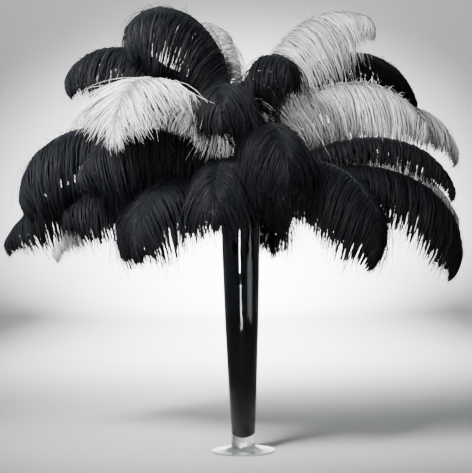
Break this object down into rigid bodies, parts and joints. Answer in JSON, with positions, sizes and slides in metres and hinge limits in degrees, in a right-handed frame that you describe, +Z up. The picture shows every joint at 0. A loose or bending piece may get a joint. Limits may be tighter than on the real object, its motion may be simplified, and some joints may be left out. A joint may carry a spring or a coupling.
{
  "type": "ostrich feather centrepiece",
  "caption": "Drooping black and white ostrich plumes fanned from a foam ball on the mouth of a tall, flaring black glass vase with a clear glass foot.",
  "frame": {"origin": "centre of the foot's flat underside, on the vase's axis", "axes": "+Z up along the vase's axis, +X to the right and -Y towards the viewer of the picture"},
  "size_m": [1.1265, 0.8824, 1.0537],
  "materials": {
    "black_glass": "polished black glass cased in a thin clear layer",
    "clear_glass": "polished clear glass",
    "foam": "matt fine-celled foam",
    "black_feather": "soft dyed ostrich barbs with a faint bluish sheen",
    "white_feather": "soft bleached ostrich barbs, slightly translucent"
  },
  "bodies": {
    "root": {"vase_body": "black_glass", "vase_foot": "clear_glass", "foam_ball": "foam", "black_plume_01": "black_feather", "black_plume_02": "black_feather", "black_plume_03": "black_feather", "black_plume_04": "black_feather", "black_plume_05": "black_feather", "black_plume_06": "black_feather", "black_plume_07": "black_feather", "black_plume_08": "black_feather", "black_plume_09": "black_feather", "black_plume_10": "black_feather", "black_plume_11": "black_feather", "black_plume_12": "black_feather", "black_plume_13": "black_feather", "black_plume_14": "black_feather", "black_plume_15": "black_feather", "black_plume_16": "black_feather", "black_plume_17": "black_feather", "black_plume_18": "black_feather", "black_plume_19": "black_feather", "black_plume_20": "black_feather", "black_plume_21": "black_feather", "black_plume_22": "black_feather", "white_plume_01": "white_feather", "white_plume_02": "white_feather", "white_plume_03": "white_feather", "white_plume_04": "white_feather", "white_plume_05": "white_feather", "white_plume_06": "white_feather", "white_plume_07": "white_feather", "white_plume_08": "white_feather", "white_plume_09": "white_feather", "white_plume_10": "white_feather"}
  },
  "joints": []
}
